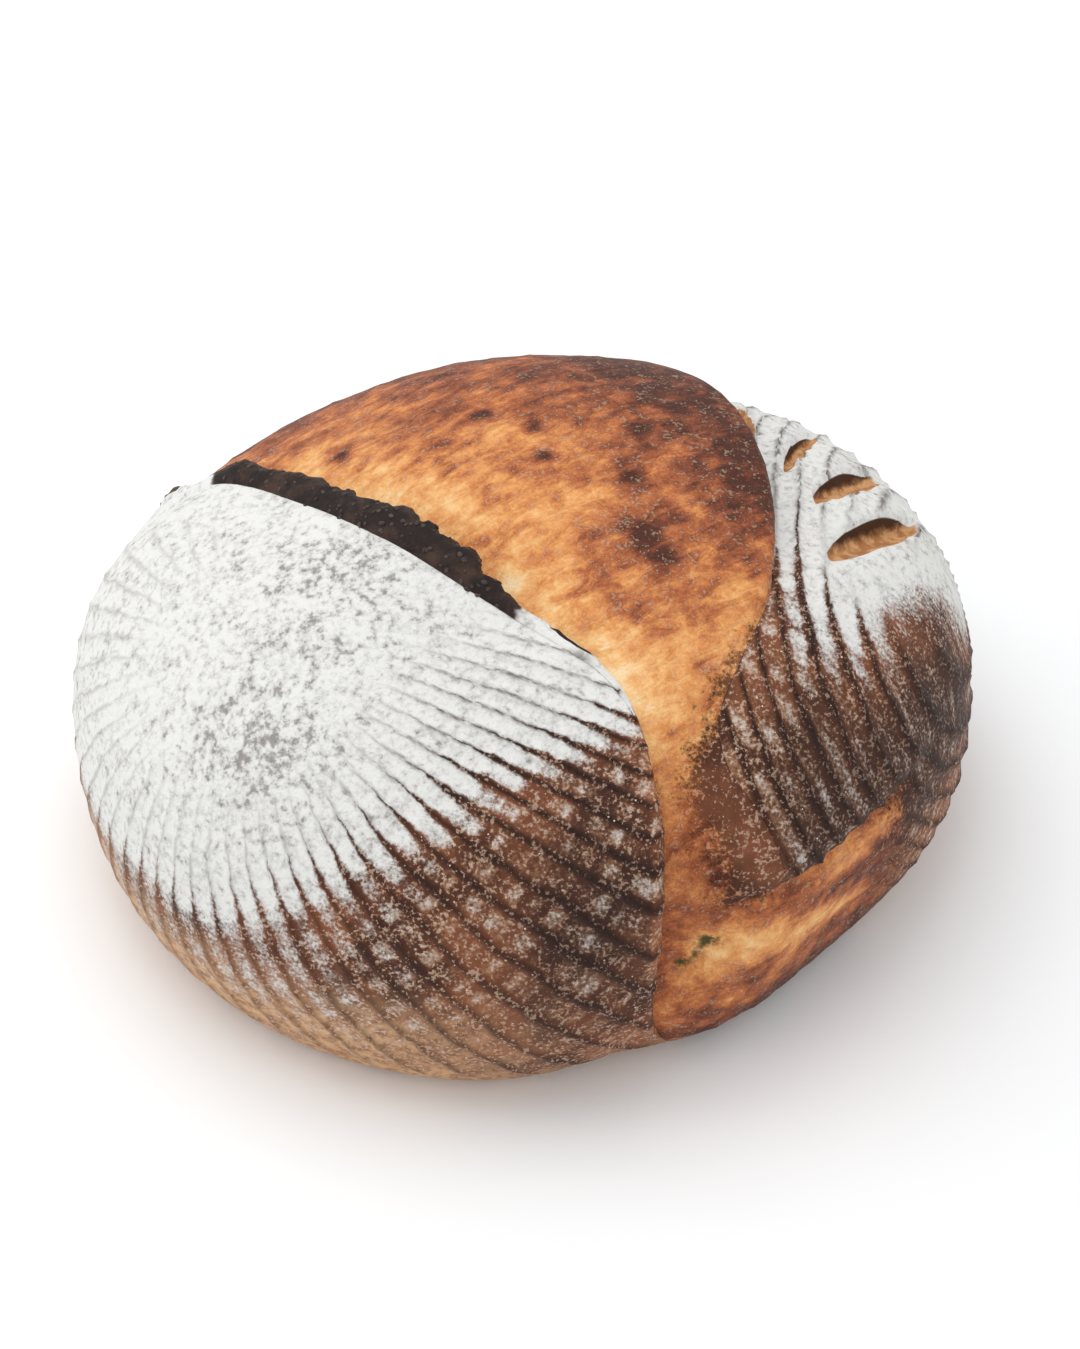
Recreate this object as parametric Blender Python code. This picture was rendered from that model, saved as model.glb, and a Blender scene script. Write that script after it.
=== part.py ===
"""Round sourdough loaf, opened along one curved slash.

Metres, +Z up. The loaf rests on z = 0 with the heart of the crumb above the origin. The slash
starts at the foot in front, climbs as a step between the near flank and a valley, turns over the
top and ends at the back left. Over the top its near lip stands up as the ear; the dough that
welled out of it (the bloom) falls back under the ear and stands over the far shoulder.

The whole crust is one UV sphere whose two poles are the two ends of the slash. Its columns run
from pole to pole beside the slash, so a few of them can fold over into the ear and the bloom's
far edge, and its rows cross the slash.
"""

import math

import bmesh
import bpy
import numpy as np
from mathutils import Matrix

# Overall boule.
WIDTH = 0.257
DEPTH = 0.218
HEIGHT = 0.122
WIDEST_AT = 0.045
HEART = np.array([0.0, 0.0, WIDEST_AT])
PLAN_POWER = 2.2
SIDE_POWER = 2.4
UNDER_DROP = 0.070
FOOT_ROUND = 0.009
CENTRING = np.array([0.0026, 0.0029, 0.0])

# Near flank: the big lobe between the slash and the front left.
FLANK_CENTRE = np.array([-0.046, -0.034, 0.041])
FLANK_HALF = np.array([0.098, 0.060, 0.077])
FLANK_TURN = math.radians(138.0)
CREASE_BLEND = 0.005

# Places where the dough stands prouder or hangs back: azimuth, elevation, spread, rise.
BOULE_SWELLS = (
    (-30.0, 3.0, 27.0, -0.0110),
    (140.0, 35.0, 24.0, -0.0090),
    (90.0, 50.0, 40.0, 0.0020),
    (-66.0, 0.0, 13.0, -0.0045),
    (-39.0, -8.0, 15.0, -0.0065),
)
FLANK_SWELLS = (
    (-137.0, 5.0, 30.0, 0.0100),
    (168.0, 22.0, 20.0, 0.0070),
)

# The slash: its two ends, the row at which it is halfway, and the course of each lip as
# (row, angle round the slash) in degrees.
FRONT_TIP = np.array([0.040, -0.085, 0.004])
BACK_TIP = np.array([-0.112, 0.058, 0.062])
MIDWAY = 1.088
NEAR_LIP = ((0.0, 66.0), (16.0, 78.0), (25.0, 88.0), (35.0, 98.0), (44.0, 105.0), (54.0, 112.0),
            (64.0, 117.0), (71.0, 116.5), (78.0, 114.0), (87.0, 111.0), (98.0, 108.0),
            (113.0, 105.5), (132.0, 104.0), (146.0, 102.0), (155.0, 98.0), (180.0, 90.0))
FAR_LIP = ((0.0, 132.0), (24.0, 132.0), (34.0, 130.0), (44.0, 126.0), (53.0, 123.0),
           (58.0, 125.0), (64.0, 134.0), (69.0, 143.0), (75.0, 150.5), (80.0, 155.5),
           (87.0, 161.5), (95.0, 168.0), (106.0, 176.0), (125.0, 180.0), (180.0, 180.0))
UNDERSIDE = -90.0

# Folds: steps across toward the bloom, or toward the shoulder, and up, in millimetres.
EAR_FOLD = ((0.0, 9.0), (2.0, 10.5), (5.5, 11.5), (9.5, 11.0), (12.0, 8.5), (11.0, 5.5),
            (6.5, 1.5), (4.0, -3.0), (5.0, -6.5))
STEP_FOLD = ((0.0, 5.0), (1.6, 4.4), (3.0, 3.2), (4.0, 1.4), (4.4, -1.0), (4.4, -3.4),
             (4.2, -5.6), (4.6, -7.4), (5.6, -8.5))
FAR_FOLD = ((0.0, 3.0), (3.0, 2.6), (4.5, 0.4), (3.6, -3.2), (4.0, -6.5))
EAR_RUN = 0.022
UNDER_EAR_RUN = 0.014
STEP_RUN = 0.026
VALLEY_RUN = 0.026
SHOULDER_RUN = 0.027
BLOOM_RISE = 0.003
BLOOM_RUN = 0.040

# Burst on the front right: azimuth span, lip height at each end, how far lip and belly stand out.
BURST_FROM = -66.0
BURST_TO = -12.0
BURST_LOW = 0.066
BURST_HIGH = 0.070
BURST_LIP = 0.0025
BURST_BELLY = 0.0015

# Leaf cuts on the right shoulder: azimuth and elevation of each tip, width and depth.
LEAF_CUTS = (
    (-2.5, 38.5, 16.0, 20.5, 0.0125, 0.0050),
    (15.0, 38.0, 26.0, 22.0, 0.0115, 0.0045),
    (26.0, 39.0, 38.0, 25.0, 0.0100, 0.0040),
    (38.0, 38.0, 51.0, 28.0, 0.0090, 0.0035),
)
LEAF_LEAN = 25.0

ROWS = 44
SECTORS = (("flank", 42), ("ear", 10), ("bloom", 20), ("far_edge", 6), ("shoulder", 26))
COLUMNS = sum(count for name, count in SECTORS)
TURN_STEP = 0.004


def unit(vector):
    return vector / np.linalg.norm(vector, axis=-1, keepdims=True)


def smooth(value, low, high):
    share = np.clip((value - low) / (high - low), 0.0, 1.0)
    return share * share * (3.0 - 2.0 * share)


def compass(azimuth, elevation):
    """Unit direction from an azimuth and an elevation in degrees."""
    turn = math.radians(azimuth)
    lift = math.radians(elevation)
    flat = math.cos(lift)
    return np.array([flat * math.cos(turn), flat * math.sin(turn), math.sin(lift)])


# Frame of the slash: the back end is its pole, the front end lies in the first axis.
TO_FRONT = unit(FRONT_TIP - HEART)
TO_BACK = unit(BACK_TIP - HEART)
CLOSENESS = float(TO_FRONT @ TO_BACK)
AXIS_ONE = unit(TO_FRONT - CLOSENESS * TO_BACK)
AXIS_TWO = np.cross(TO_BACK, AXIS_ONE)
FRONT_OFFSET = math.sqrt(1.0 - CLOSENESS ** 2) / (1.0 - CLOSENESS)


def direction(angle, row):
    """Direction from the heart at an angle round the slash (deg) and a row along it (deg)."""
    spread = MIDWAY * np.tan(np.radians(row) / 2.0)
    turn = np.radians(angle)
    along = FRONT_OFFSET + spread * np.cos(turn)
    aside = spread * np.sin(turn)
    square = along ** 2 + aside ** 2
    way = (2.0 * along)[..., None] * AXIS_ONE + (2.0 * aside)[..., None] * AXIS_TWO
    way = way + (square - 1.0)[..., None] * TO_BACK
    return way / (square + 1.0)[..., None]


def swollen(reach, way, swells):
    for azimuth, elevation, spread, rise in swells:
        apart = np.degrees(np.arccos(np.clip(way @ compass(azimuth, elevation), -1.0, 1.0)))
        reach = reach + rise * np.exp(-(apart / spread) ** 2)
    return reach


def boule_reach(way):
    """Distance from the heart to the squared-off round of the boule."""
    side_x = np.abs(way[..., 0]) / (WIDTH / 2.0)
    side_y = np.abs(way[..., 1]) / (DEPTH / 2.0)
    half_z = np.where(way[..., 2] > 0.0, HEIGHT - WIDEST_AT, UNDER_DROP)
    side_z = np.abs(way[..., 2]) / half_z
    plan = (side_x ** PLAN_POWER + side_y ** PLAN_POWER) ** (SIDE_POWER / PLAN_POWER)
    reach = (plan + side_z ** SIDE_POWER) ** (-1.0 / SIDE_POWER)
    return swollen(reach, way, BOULE_SWELLS)


def flank_reach(way):
    """Distance from the heart to the near flank, a turned ellipsoid."""
    cosine = math.cos(FLANK_TURN)
    sine = math.sin(FLANK_TURN)
    turn = np.array([[cosine, sine, 0.0], [-sine, cosine, 0.0], [0.0, 0.0, 1.0]])
    ray = (way @ turn.T) / FLANK_HALF
    start = (turn @ (HEART - FLANK_CENTRE)) / FLANK_HALF
    square = (ray * ray).sum(-1)
    cross = (ray * start).sum(-1)
    inside = float(start @ start) - 1.0
    reach = (np.sqrt(cross * cross - square * inside) - cross) / square
    return swollen(reach, way, FLANK_SWELLS)


def burst_relief(way, reach):
    """Lip that overhangs the burst, and the pale belly below it."""
    azimuth = np.degrees(np.arctan2(way[..., 1], way[..., 0]))
    height = WIDEST_AT + reach * way[..., 2]
    inside = smooth(azimuth, BURST_FROM, BURST_FROM + 10.0)
    inside = inside * (1.0 - smooth(azimuth, BURST_TO - 20.0, BURST_TO))
    above = height - (BURST_LOW + (BURST_HIGH - BURST_LOW) * smooth(azimuth, -60.0, -35.0))
    lip = BURST_LIP * np.exp(-np.abs(above / 0.016) ** 1.5) * smooth(above, -0.0025, 0.0005)
    belly = BURST_BELLY * np.exp(-((above + 0.022) / 0.013) ** 2)
    tuck = 0.0022 * np.exp(-((above + 0.004) / 0.004) ** 2)
    return inside * (lip + belly - tuck)


def skin(way):
    """Points of the crust before the slash opened it."""
    boule = boule_reach(way)
    flank = flank_reach(way)
    near = np.clip(0.5 + 0.5 * (flank - boule) / CREASE_BLEND, 0.0, 1.0)
    reach = boule + (flank - boule) * near + CREASE_BLEND * near * (1.0 - near)
    reach = reach + burst_relief(way, reach)
    return HEART + way * reach[..., None]


def press_on_foot(points):
    """Flatten the underside onto z = 0 with a rounded rim and centre the loaf on the origin."""
    height = points[..., 2]
    blend = np.clip(1.0 - np.abs(height) / FOOT_ROUND, 0.0, 1.0)
    pressed = points + CENTRING
    pressed[..., 2] = np.maximum(height, 0.0) + blend * blend * FOOT_ROUND / 4.0
    return pressed


def skin_frame(angle, row):
    """Crust point, its outward normal and the way across the slash toward the shoulder."""
    way = direction(angle, row)
    aside = unit(np.cross(way, np.array([0.31, 0.17, 0.94])))
    upward = np.cross(way, aside)
    run_one = skin(unit(way + TURN_STEP * aside)) - skin(unit(way - TURN_STEP * aside))
    run_two = skin(unit(way + TURN_STEP * upward)) - skin(unit(way - TURN_STEP * upward))
    normal = unit(np.cross(run_one, run_two))
    facing = np.sign((normal * way).sum(-1, keepdims=True))
    normal = normal * facing
    across = direction(angle + 0.5, row) - direction(angle - 0.5, row)
    across = across - (across * normal).sum(-1, keepdims=True) * normal
    return skin(way), normal, unit(across)


def course(knots, row):
    """Smooth curve through a lip's (row, angle) knots."""
    at, angle = np.array(knots).T
    slope = np.gradient(angle, at)
    left = np.clip(np.searchsorted(at, row, side="right") - 1, 0, len(at) - 2)
    span = at[left + 1] - at[left]
    step = (row - at[left]) / span
    rise = angle[left + 1] - angle[left]
    bend = (1.0 - step) * (slope[left] * span - rise) - step * (slope[left + 1] * span - rise)
    return angle[left] + step * rise + step * (1.0 - step) * bend


def ear_share(row):
    """How far the near lip is lifted into the ear, row by row."""
    rise = 0.25 * smooth(row, 58.0, 80.0) + 0.75 * smooth(row, 78.0, 112.0)
    slim = 1.0 - 0.25 * np.exp(-((row - 134.0) / 16.0) ** 2)
    return rise * slim * (1.0 - 0.5 * smooth(row, 147.0, 159.0)) * (1.0 - smooth(row, 160.0, 178.0))


def step_share(row):
    """How far the near flank stands over the valley in front."""
    return (1.0 - smooth(row, 44.0, 66.0)) * smooth(row, 5.0, 30.0)


def bloom_share(row):
    return smooth(row, 58.0, 90.0) * (1.0 - smooth(row, 135.0, 178.0))


def far_share(row):
    return smooth(row, 62.0, 84.0) * (1.0 - smooth(row, 150.0, 178.0))


def gap(way, edge_way):
    """Distance over the crust between two directions."""
    cosine = np.clip((way * edge_way).sum(-1), -1.0, 1.0)
    return np.arccos(cosine) * 0.5 * (boule_reach(way) + boule_reach(edge_way))


def fold_offset(fold, share):
    """Across and up steps, in metres, at a share of the way round a fold."""
    steps = np.array(fold) * 0.001
    knots = np.linspace(0.0, 1.0, len(fold))
    return np.interp(share, knots, steps[:, 0]), np.interp(share, knots, steps[:, 1])


def opening(row, from_near):
    """How far the crust has dropped beside the near lip: under the ear and in the valley."""
    under = 0.0065 * ear_share(row) * np.exp(-(from_near / UNDER_EAR_RUN) ** 1.5)
    valley = 0.0085 * step_share(row) * np.exp(-(from_near / VALLEY_RUN) ** 2.5)
    return under + valley


def place(sector, share, row):
    """Point of the finished crust at a share of the way across a sector, on one row."""
    row = np.broadcast_to(row, np.shape(share)).astype(float)
    near = course(NEAR_LIP, row)
    far = course(FAR_LIP, row)
    spans = {
        "flank": (np.full(row.shape, UNDERSIDE), near),
        "ear": (near, near),
        "bloom": (near, far),
        "far_edge": (far, far),
        "shoulder": (far, np.full(row.shape, UNDERSIDE + 360.0)),
    }
    start, end = spans[sector]
    angle = start + (end - start) * share
    point, normal, across = skin_frame(angle, row)
    way = direction(angle, row)
    from_near = gap(way, direction(near, row))
    from_far = gap(way, direction(far, row))
    high = ear_share(row)
    step = step_share(row)
    edge = far_share(row)
    side = np.zeros(row.shape)
    if sector == "flank":
        up = high * 0.009 * np.exp(-(from_near / EAR_RUN) ** 1.5)
        up = up + step * 0.005 * np.exp(-(from_near / STEP_RUN) ** 1.5)
    elif sector == "ear":
        ear_side, ear_up = fold_offset(EAR_FOLD, share)
        step_side, step_up = fold_offset(STEP_FOLD, share)
        side = ear_side * high + step_side * step
        up = ear_up * high + step_up * step
    elif sector == "bloom":
        side = (0.005 * high + 0.0056 * step) * np.exp(-from_near / 0.015) * (1.0 - share)
        well = bloom_share(row) * smooth(from_near, 0.0, BLOOM_RUN)
        well = well + (edge - well) * smooth(share, 0.0, 1.0)
        up = BLOOM_RISE * well - opening(row, from_near) * (1.0 - edge * smooth(share, 0.0, 1.0))
    elif sector == "far_edge":
        side, up = fold_offset(FAR_FOLD, share)
        side = side * edge
        up = up * edge - opening(row, from_near) * (1.0 - edge)
    else:
        side = 0.004 * edge * np.exp(-from_far / 0.015)
        up = -0.0065 * edge * np.exp(-(from_far / SHOULDER_RUN) ** 1.3)
        up = up - opening(row, from_near) * (1.0 - edge)
    return press_on_foot(point + normal * up[..., None] + across * side[..., None])


def crust_points():
    """Grid of crust points, one row per ring of the sphere."""
    rows = np.arange(1, ROWS)[:, None] * (180.0 / ROWS)
    blocks = []
    for sector, count in SECTORS:
        share = np.broadcast_to(np.arange(count) / count, (ROWS - 1, count))
        blocks.append(place(sector, share, rows))
    return np.concatenate(blocks, axis=1)


def add_object(name, mesh, collection):
    thing = bpy.data.objects.new(name, mesh)
    collection.objects.link(thing)
    return thing


def crust_mesh():
    """Sphere with its vertices moved onto the crust."""
    grid = crust_points()
    ends = [press_on_foot(skin(way)) for way in (TO_FRONT, TO_BACK)]
    sphere = bmesh.new()
    bmesh.ops.create_uvsphere(sphere, u_segments=COLUMNS, v_segments=ROWS, radius=1.0)
    for vertex in sphere.verts:
        polar = math.acos(max(-1.0, min(1.0, vertex.co.z)))
        row = round(polar / (math.pi / ROWS))
        azimuth = math.atan2(vertex.co.y, vertex.co.x)
        column = round(-azimuth / (2.0 * math.pi / COLUMNS)) % COLUMNS
        if row == 0:
            vertex.co = ends[0]
        elif row == ROWS:
            vertex.co = ends[1]
        else:
            vertex.co = grid[row - 1, column]
    bmesh.ops.recalc_face_normals(sphere, faces=sphere.faces)
    bmesh.ops.triangulate(sphere, faces=sphere.faces)
    mesh = bpy.data.meshes.new("loaf")
    sphere.to_mesh(mesh)
    sphere.free()
    return mesh


def leaf_cutter(number, cut, collection):
    """Pointed ellipsoid that scoops one leaf cut, leaning in under its far lip."""
    near_azimuth, near_elevation, far_azimuth, far_elevation, width, depth = cut
    near = skin(compass(near_azimuth, near_elevation))
    far = skin(compass(far_azimuth, far_elevation))
    way = unit((near + far) / 2.0 - HEART)
    centre = skin(way) + CENTRING
    along = unit(far - near)
    length = np.linalg.norm(far - near)
    across = unit(np.cross(skin_normal(way), along))
    normal = np.cross(along, across)
    lean = math.radians(LEAF_LEAN)
    deep = normal * math.cos(lean) - across * math.sin(lean)
    wide = across * math.cos(lean) + normal * math.sin(lean)
    tool = bmesh.new()
    bmesh.ops.create_uvsphere(tool, u_segments=16, v_segments=10, radius=1.0)
    for vertex in tool.verts:
        taper = 1.0 - 0.35 * vertex.co.z ** 2
        vertex.co.x *= taper
        vertex.co.y *= taper
    matrix = Matrix([
        [deep[i] * depth, wide[i] * width / 2.0, along[i] * length / 2.0, centre[i]]
        for i in range(3)
    ] + [[0.0, 0.0, 0.0, 1.0]])
    bmesh.ops.transform(tool, matrix=matrix, verts=tool.verts)
    bmesh.ops.recalc_face_normals(tool, faces=tool.faces)
    mesh = bpy.data.meshes.new(f"leaf_cutter_{number}")
    tool.to_mesh(mesh)
    tool.free()
    cutter = add_object(f"leaf_cutter_{number}", mesh, collection)
    cutter.hide_render = True
    cutter.display_type = "WIRE"
    return cutter


def skin_normal(way):
    aside = unit(np.cross(way, np.array([0.31, 0.17, 0.94])))
    upward = np.cross(way, aside)
    run_one = skin(unit(way + TURN_STEP * aside)) - skin(unit(way - TURN_STEP * aside))
    run_two = skin(unit(way + TURN_STEP * upward)) - skin(unit(way - TURN_STEP * upward))
    normal = np.cross(run_one, run_two)
    return normal * np.sign((normal * way).sum(-1, keepdims=True))


def crust_material():
    material = bpy.data.materials.new("crust")
    material.use_nodes = True
    shader = material.node_tree.nodes["Principled BSDF"]
    shader.inputs["Base Color"].default_value = (0.36, 0.16, 0.06, 1.0)
    shader.inputs["Roughness"].default_value = 0.7
    return material


def build():
    for thing in list(bpy.data.objects):
        bpy.data.objects.remove(thing, do_unlink=True)
    solids = bpy.data.collections.new("sourdough_loaf")
    cutters = bpy.data.collections.new("cutters")
    bpy.context.scene.collection.children.link(solids)
    bpy.context.scene.collection.children.link(cutters)
    loaf = add_object("loaf", crust_mesh(), solids)
    loaf.data.materials.append(crust_material())
    for number, cut in enumerate(LEAF_CUTS):
        boolean = loaf.modifiers.new(f"leaf_cut_{number}", "BOOLEAN")
        boolean.operation = "DIFFERENCE"
        boolean.solver = "EXACT"
        boolean.object = leaf_cutter(number, cut, cutters)


build()
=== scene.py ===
"""Round sourdough loaf: its crust, flour, ear and bloom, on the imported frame."""

import math

import bpy
import numpy as np
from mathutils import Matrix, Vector


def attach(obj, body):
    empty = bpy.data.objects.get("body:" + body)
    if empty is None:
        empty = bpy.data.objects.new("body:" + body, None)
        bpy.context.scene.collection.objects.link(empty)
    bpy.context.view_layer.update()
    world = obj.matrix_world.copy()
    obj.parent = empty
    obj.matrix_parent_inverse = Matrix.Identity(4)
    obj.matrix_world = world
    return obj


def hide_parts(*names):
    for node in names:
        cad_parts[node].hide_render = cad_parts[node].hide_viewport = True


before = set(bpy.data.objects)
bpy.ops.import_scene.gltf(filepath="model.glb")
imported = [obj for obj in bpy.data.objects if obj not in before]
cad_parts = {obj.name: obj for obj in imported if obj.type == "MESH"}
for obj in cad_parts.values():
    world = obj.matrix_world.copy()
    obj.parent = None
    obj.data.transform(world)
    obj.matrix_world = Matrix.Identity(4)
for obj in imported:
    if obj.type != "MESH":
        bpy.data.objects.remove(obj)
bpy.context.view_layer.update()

# Overall boule, in metres.
WIDTH = 0.257
DEPTH = 0.218
HEIGHT = 0.122
WIDEST_AT = 0.045
HEART = np.array([0.0, 0.0, WIDEST_AT])
PLAN_POWER = 2.2
SIDE_POWER = 2.4
UNDER_DROP = 0.070
FOOT_ROUND = 0.009
CENTRING = np.array([0.0026, 0.0029, 0.0])
CRUST_INSET = 0.0004

# Near flank, the big lobe at the front left.
FLANK_CENTRE = np.array([-0.046, -0.034, 0.041])
FLANK_HALF = np.array([0.098, 0.060, 0.077])
FLANK_TURN = math.radians(138.0)
CREASE_BLEND = 0.005

# Where the dough stands prouder or hangs back: azimuth, elevation, spread, rise.
BOULE_SWELLS = (
    (-30.0, 3.0, 27.0, -0.0110),
    (140.0, 35.0, 24.0, -0.0090),
    (90.0, 50.0, 40.0, 0.0020),
    (-66.0, 0.0, 13.0, -0.0045),
    (-39.0, -8.0, 15.0, -0.0065),
)
FLANK_SWELLS = (
    (-137.0, 5.0, 30.0, 0.0100),
    (168.0, 22.0, 20.0, 0.0070),
)

# The slash: its ends and the course of each lip as (row, angle round it) in degrees.
FRONT_TIP = np.array([0.040, -0.085, 0.004])
BACK_TIP = np.array([-0.112, 0.058, 0.062])
MIDWAY = 1.088
NEAR_LIP = ((0.0, 66.0), (16.0, 78.0), (25.0, 88.0), (35.0, 98.0), (44.0, 105.0), (54.0, 112.0),
            (64.0, 117.0), (71.0, 116.5), (78.0, 114.0), (87.0, 111.0), (98.0, 108.0),
            (113.0, 105.5), (132.0, 104.0), (146.0, 102.0), (155.0, 98.0), (180.0, 90.0))
FAR_LIP = ((0.0, 132.0), (24.0, 132.0), (34.0, 130.0), (44.0, 126.0), (53.0, 123.0),
           (58.0, 125.0), (64.0, 134.0), (69.0, 143.0), (75.0, 150.5), (80.0, 155.5),
           (87.0, 161.5), (95.0, 168.0), (106.0, 176.0), (125.0, 180.0), (180.0, 180.0))
UNDERSIDE = -90.0
SLASH_RADIUS = 0.085

# Folds: steps across and up, in millimetres.
EAR_FOLD = ((0.0, 9.0), (2.0, 10.5), (5.5, 11.5), (9.5, 11.0), (12.0, 8.5), (11.0, 5.5),
            (6.5, 1.5), (4.0, -3.0), (5.0, -6.5))
STEP_FOLD = ((0.0, 5.0), (1.6, 4.4), (3.0, 3.2), (4.0, 1.4), (4.4, -1.0), (4.4, -3.4),
             (4.2, -5.6), (4.6, -7.4), (5.6, -8.5))
FAR_FOLD = ((0.0, 3.0), (3.0, 2.6), (4.5, 0.4), (3.6, -3.2), (4.0, -6.5))

# Lifts, dips and sideways shifts beside the lips, and how far each one runs.
EAR_LIFT = 0.009
EAR_RUN = 0.022
UNDER_EAR = 0.0065
UNDER_EAR_RUN = 0.014
STEP_LIFT = 0.005
STEP_RUN = 0.026
VALLEY = 0.0085
VALLEY_RUN = 0.026
SHOULDER_DIP = 0.0065
SHOULDER_RUN = 0.027
SHOULDER_SHIFT = 0.004
BLOOM_SHIFT = 0.005
VALLEY_SHIFT = 0.0056
SHIFT_RUN = 0.015
BLOOM_RISE = 0.003
BLOOM_RUN = 0.040

# Width in degrees that the far fold keeps where it dies away.
SPARE_ANGLE = 4.0

# Burst on the front right: azimuth span, lip height at each end, then the lip,
# the tuck just under it and the belly below.
BURST_FROM = -66.0
BURST_TO = -12.0
BURST_LOW = 0.066
BURST_HIGH = 0.070
BURST_RISES = (-60.0, -35.0)
BURST_FADES = (10.0, 20.0)
BURST_LIP = 0.0025
BURST_LIP_RUN = 0.016
BURST_TUCK = 0.0022
BURST_TUCK_HALF = 0.004
BURST_BELLY = 0.0015
BURST_BELLY_BELOW = 0.022
BURST_BELLY_HALF = 0.013

# Leaf cuts on the shoulder: azimuth and elevation of each tip, width, depth.
LEAF_CUTS = (
    (-2.5, 38.5, 16.0, 20.5, 0.0125, 0.0050),
    (15.0, 38.0, 26.0, 22.0, 0.0115, 0.0045),
    (26.0, 39.0, 38.0, 25.0, 0.0075, 0.0040),
    (38.0, 38.0, 51.0, 28.0, 0.0065, 0.0035),
)
LEAF_HALF_LENGTH = 0.52
LEAF_HALF_WIDTH = 0.40
LEAF_BOW = 0.25
LEAF_ROUNDNESS = 1.6

# Basket marks: ribs fanning from the near lobe's crown, ribs side by side on the shoulder.
LOBE_CROWN = np.array([-0.647, -0.424, 0.634])
LOBE_RADIUS = 0.095
RIBS_ROUND = 58
RIB_SEAM = 30.0
SHOULDER_RIB_WAY = np.array([0.88, 0.0, 0.476])
SHOULDER_RIB_GAP = 0.0054
RIB_HEIGHT = 0.0013

# Wandering and trembling of the ribs: noise scale, share of a rib.
RIB_DRIFT = (55.0, 0.45)
RIB_SHAKE = (330.0, 0.15)
RIB_SQUARENESS = 3.2
BEADS_PER_METRE = 290.0
BEAD_SHUFFLE = 7.37

# The crust's grid: rows along the slash, and columns across each sector.
ROWS = 180
FLANK, EAR, BLOOM, FAR_EDGE, SHOULDER = range(5)
COLUMNS = (236, 34, 120, 22, 136)
TURN_STEP = 0.004


def unit(vector):
    return vector / np.linalg.norm(vector, axis=-1, keepdims=True)


def smooth(value, low, high):
    share = np.clip((value - low) / (high - low), 0.0, 1.0)
    return share * share * (3.0 - 2.0 * share)


def compass(azimuth, elevation):
    turn = math.radians(azimuth)
    lift = math.radians(elevation)
    flat = math.cos(lift)
    return np.array([flat * math.cos(turn), flat * math.sin(turn), math.sin(lift)])


TO_FRONT = unit(FRONT_TIP - HEART)
TO_BACK = unit(BACK_TIP - HEART)
CLOSENESS = float(TO_FRONT @ TO_BACK)
AXIS_ONE = unit(TO_FRONT - CLOSENESS * TO_BACK)
AXIS_TWO = np.cross(TO_BACK, AXIS_ONE)
FRONT_OFFSET = math.sqrt(1.0 - CLOSENESS ** 2) / (1.0 - CLOSENESS)
CROWN = unit(LOBE_CROWN)
CROWN_UP = unit(np.array([0.0, 0.0, 1.0]) - CROWN[2] * CROWN)
CROWN_SIDE = np.cross(CROWN, CROWN_UP)


def direction(angle, row):
    """Direction from the heart at an angle round the slash and a row along it, in degrees."""
    spread = MIDWAY * np.tan(np.radians(row) / 2.0)
    turn = np.radians(angle)
    along = FRONT_OFFSET + spread * np.cos(turn)
    aside = spread * np.sin(turn)
    square = along ** 2 + aside ** 2
    way = (2.0 * along)[..., None] * AXIS_ONE + (2.0 * aside)[..., None] * AXIS_TWO
    way = way + (square - 1.0)[..., None] * TO_BACK
    return way / (square + 1.0)[..., None]


def azimuth_of(way):
    return np.degrees(np.arctan2(way[..., 1], way[..., 0]))


def swollen(reach, way, swells):
    for azimuth, elevation, spread, rise in swells:
        apart = np.degrees(np.arccos(np.clip(way @ compass(azimuth, elevation), -1.0, 1.0)))
        reach = reach + rise * np.exp(-(apart / spread) ** 2)
    return reach


def boule_reach(way):
    side_x = np.abs(way[..., 0]) / (WIDTH / 2.0)
    side_y = np.abs(way[..., 1]) / (DEPTH / 2.0)
    half_z = np.where(way[..., 2] > 0.0, HEIGHT - WIDEST_AT, UNDER_DROP)
    side_z = np.abs(way[..., 2]) / half_z
    plan = (side_x ** PLAN_POWER + side_y ** PLAN_POWER) ** (SIDE_POWER / PLAN_POWER)
    reach = (plan + side_z ** SIDE_POWER) ** (-1.0 / SIDE_POWER)
    return swollen(reach, way, BOULE_SWELLS)


def flank_reach(way):
    cosine = math.cos(FLANK_TURN)
    sine = math.sin(FLANK_TURN)
    turn = np.array([[cosine, sine, 0.0], [-sine, cosine, 0.0], [0.0, 0.0, 1.0]])
    ray = (way @ turn.T) / FLANK_HALF
    start = (turn @ (HEART - FLANK_CENTRE)) / FLANK_HALF
    square = (ray * ray).sum(-1)
    cross = (ray * start).sum(-1)
    inside = float(start @ start) - 1.0
    reach = (np.sqrt(cross * cross - square * inside) - cross) / square
    return swollen(reach, way, FLANK_SWELLS)


def above_burst(way, reach):
    """Height above the burst's lip."""
    height = WIDEST_AT + reach * way[..., 2]
    return height - (BURST_LOW + (BURST_HIGH - BURST_LOW) * smooth(azimuth_of(way), *BURST_RISES))


def burst_share(way):
    azimuth = azimuth_of(way)
    fade_in, fade_out = BURST_FADES
    inside = smooth(azimuth, BURST_FROM, BURST_FROM + fade_in)
    return inside * (1.0 - smooth(azimuth, BURST_TO - fade_out, BURST_TO))


def burst_relief(way, reach):
    above = above_burst(way, reach)
    lip = BURST_LIP * np.exp(-np.abs(above / BURST_LIP_RUN) ** 1.5) * smooth(above, -0.0025, 0.0005)
    belly = BURST_BELLY * np.exp(-((above + BURST_BELLY_BELOW) / BURST_BELLY_HALF) ** 2)
    tuck = BURST_TUCK * np.exp(-((above + BURST_TUCK_HALF) / BURST_TUCK_HALF) ** 2)
    return burst_share(way) * (lip + belly - tuck)


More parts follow.
